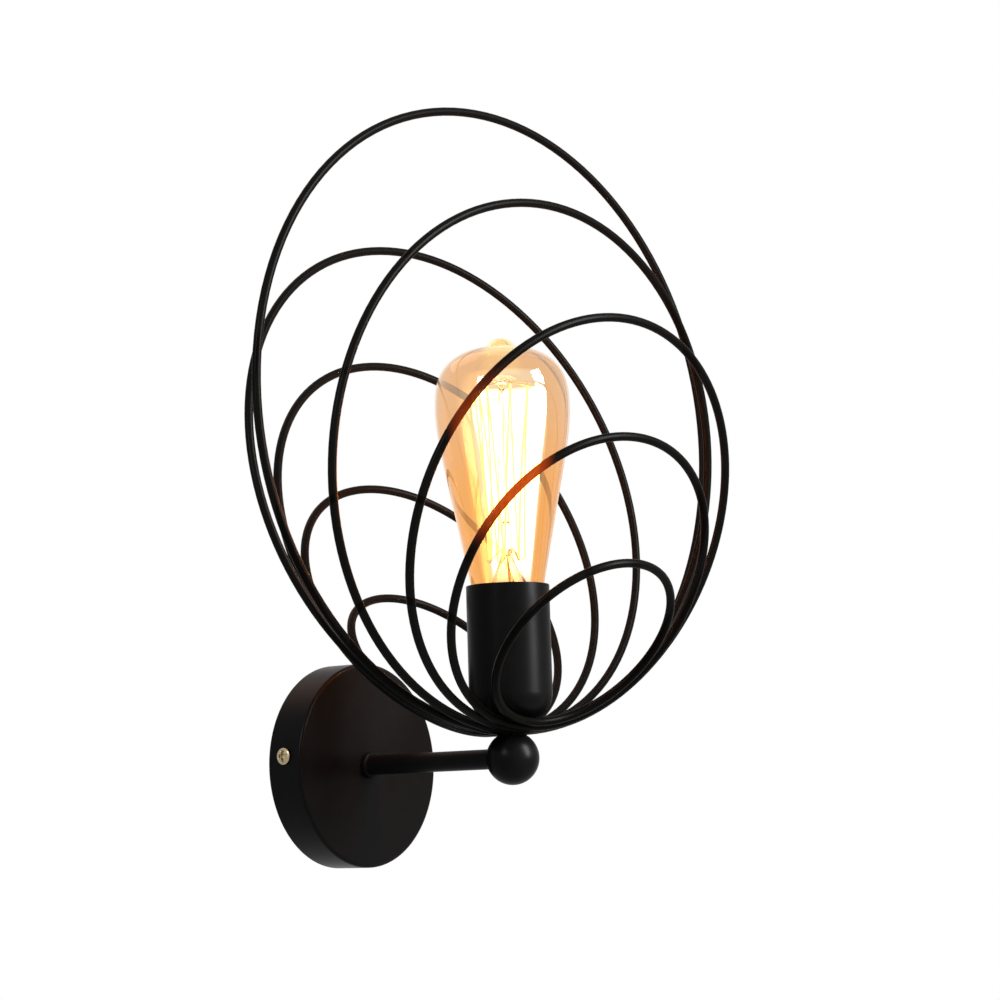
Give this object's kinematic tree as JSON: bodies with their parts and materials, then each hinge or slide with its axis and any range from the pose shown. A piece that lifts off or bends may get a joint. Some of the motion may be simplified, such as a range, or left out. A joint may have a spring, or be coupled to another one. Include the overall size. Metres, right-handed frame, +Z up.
{
  "type": "wall sconce",
  "caption": "Matt black wall sconce: round canopy, straight arm, ball and a fan of wire hoops round one upright screw-in bulb.",
  "frame": {"origin": "centre of the wall bracket's back, midway between its two slots, on the wall", "axes": "+Y into the wall, -Y into the room along the arm, +Z up along the lamp's axis, +X to the right seen from the room"},
  "size_m": [0.2981, 0.1984, 0.3599],
  "materials": {
    "black_paint": "matt black powder coat, fine texture",
    "zinc_steel": "zinc-plated steel",
    "nickel_steel": "nickel-plated, bright",
    "brass": "plain rolled brass",
    "bulb_cap_metal": "thin drawn brass, slightly dull",
    "porcelain": "white glazed porcelain",
    "amber_glass": "clear blown glass, amber tint",
    "clear_glass": "clear pressed glass",
    "black_glass": "black insulating glass",
    "glowing_thread": "glowing carbon thread",
    "fine_wire": "drawn wire",
    "brown_sleeve": "smooth extruded",
    "blue_sleeve": "smooth extruded",
    "green_sleeve": "smooth extruded",
    "white_plastic": "moulded"
  },
  "bodies": {
    "wall_side": {"wall_bracket": "zinc_steel", "earth_screw": "brass", "earth_washer": "brass", "canopy": "black_paint", "terminal_block": "white_plastic", "terminal_block_screws": "zinc_steel", "arm_collar": "black_paint", "arm_tube": "black_paint", "arm_earth_tag": "brass", "arm_washer": "zinc_steel", "arm_lock_nut": "zinc_steel", "ball_connector": "black_paint", "live_lead": "brown_sleeve", "neutral_lead": "blue_sleeve", "earth_lead": "green_sleeve"},
    "screw_left": {"canopy_screw_left": "nickel_steel"},
    "screw_right": {"canopy_screw_right": "nickel_steel"},
    "cage": {"cage_nipple": "zinc_steel", "cage_hub": "black_paint", "cup_spacer": "black_paint", "ring_centre": "black_paint", "ring_front_1": "black_paint", "ring_rear_1": "black_paint", "ring_front_2": "black_paint", "ring_rear_2": "black_paint", "ring_front_3": "black_paint", "ring_rear_3": "black_paint", "ring_front_4": "black_paint", "ring_rear_4": "black_paint", "lamp_cup": "black_paint", "cup_washer": "zinc_steel", "cup_lock_nut": "zinc_steel", "holder_bridge": "zinc_steel", "holder_insulator": "porcelain", "holder_terminal_screws": "brass", "holder_fixing_screws": "zinc_steel", "contact_shell": "brass", "centre_contact": "brass"},
    "bulb_foot": {"bulb_foot_contact": "nickel_steel"},
    "bulb": {"bulb_cap_insulator": "black_glass", "bulb_cap": "bulb_cap_metal", "bulb_glass": "amber_glass", "bulb_stem": "clear_glass", "bulb_filament": "glowing_thread", "bulb_filament_supports": "fine_wire"}
  },
  "joints": [
    {"name": "cage_turn", "type": "hinge", "parent": "wall_side", "child": "cage", "pos_m": [0, -0.109, 0], "axis": [0, 0, 1], "range_deg": [-30, 45], "deforming": ["live_lead", "neutral_lead"]},
    {"name": "bulb_lift", "type": "slide", "parent": "cage", "child": "bulb_foot", "axis": [0, 0, 1], "range_m": [0, 0.0181]},
    {"name": "bulb_turn", "type": "hinge", "parent": "bulb_foot", "child": "bulb", "pos_m": [0, -0.109, 0], "axis": [0, 0, 1], "range_deg": [0, 1800]},
    {"name": "left_screw_out", "type": "slide", "parent": "wall_side", "child": "screw_left", "axis": [-1, 0, 0], "range_m": [0, 0.0065]},
    {"name": "right_screw_out", "type": "slide", "parent": "wall_side", "child": "screw_right", "axis": [1, 0, 0], "range_m": [0, 0.0065]}
  ],
  "couplings": [
    {"joint": "bulb_lift", "follows": "bulb_turn", "m_per_rad": 0.00057296}
  ]
}
